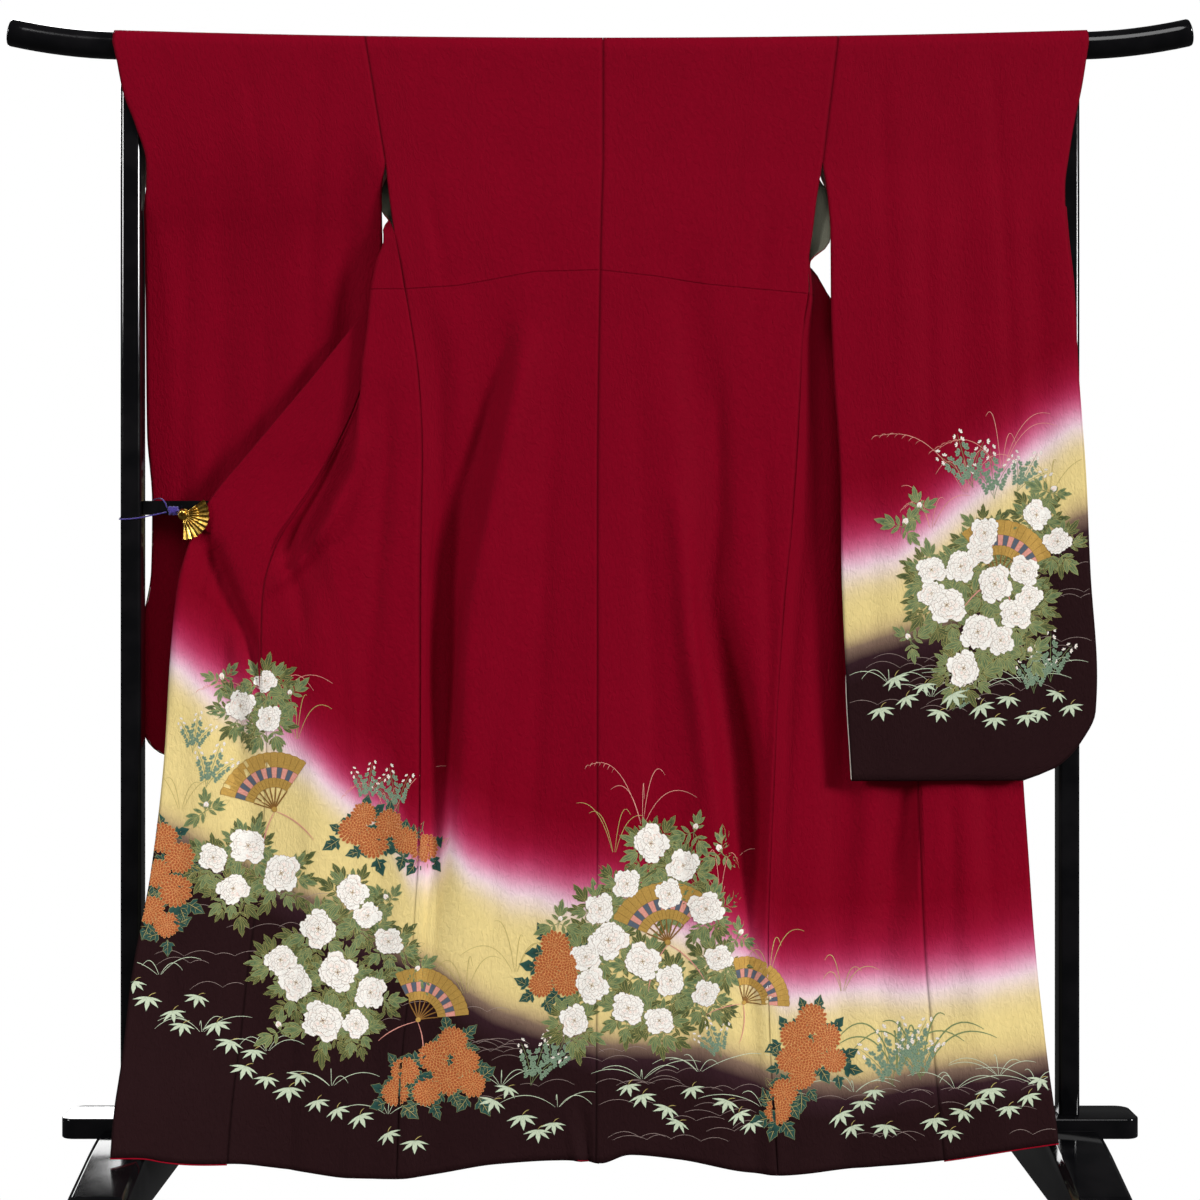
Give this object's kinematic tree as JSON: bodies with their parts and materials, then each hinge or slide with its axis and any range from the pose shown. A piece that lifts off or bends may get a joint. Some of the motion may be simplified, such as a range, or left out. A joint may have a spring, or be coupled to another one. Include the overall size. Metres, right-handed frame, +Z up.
{
  "type": "furisode kimono on a kimono stand",
  "caption": "Crimson long-sleeved furisode kimono hung from its back over a black lacquered stand, its left front pulled out and held by a gilt fan clip.",
  "frame": {"origin": "on the floor under the middle of the stand", "axes": "+Z up, +X to the right as one looks at the garment's back, -Y towards the viewer of the back"},
  "size_m": [1.702, 0.49, 1.6958],
  "materials": {
    "silk": "matte crepe with a soft sheen",
    "lacquer": "glossy black lacquer",
    "gilt": "polished gilt",
    "cord": "twisted silk cord"
  },
  "bodies": {
    "root": {"body_left": "silk", "body_right": "silk", "okumi_left": "silk", "okumi_right": "silk", "sleeve_left": "silk", "sleeve_right": "silk", "collar": "silk", "top_bar": "lacquer", "mid_rail": "lacquer", "bottom_rail": "lacquer", "post_left": "lacquer", "post_right": "lacquer", "foot_left": "lacquer", "foot_right": "lacquer", "fan_clip": "gilt", "clip_knot": "cord", "clip_cord": "cord"}
  },
  "joints": []
}
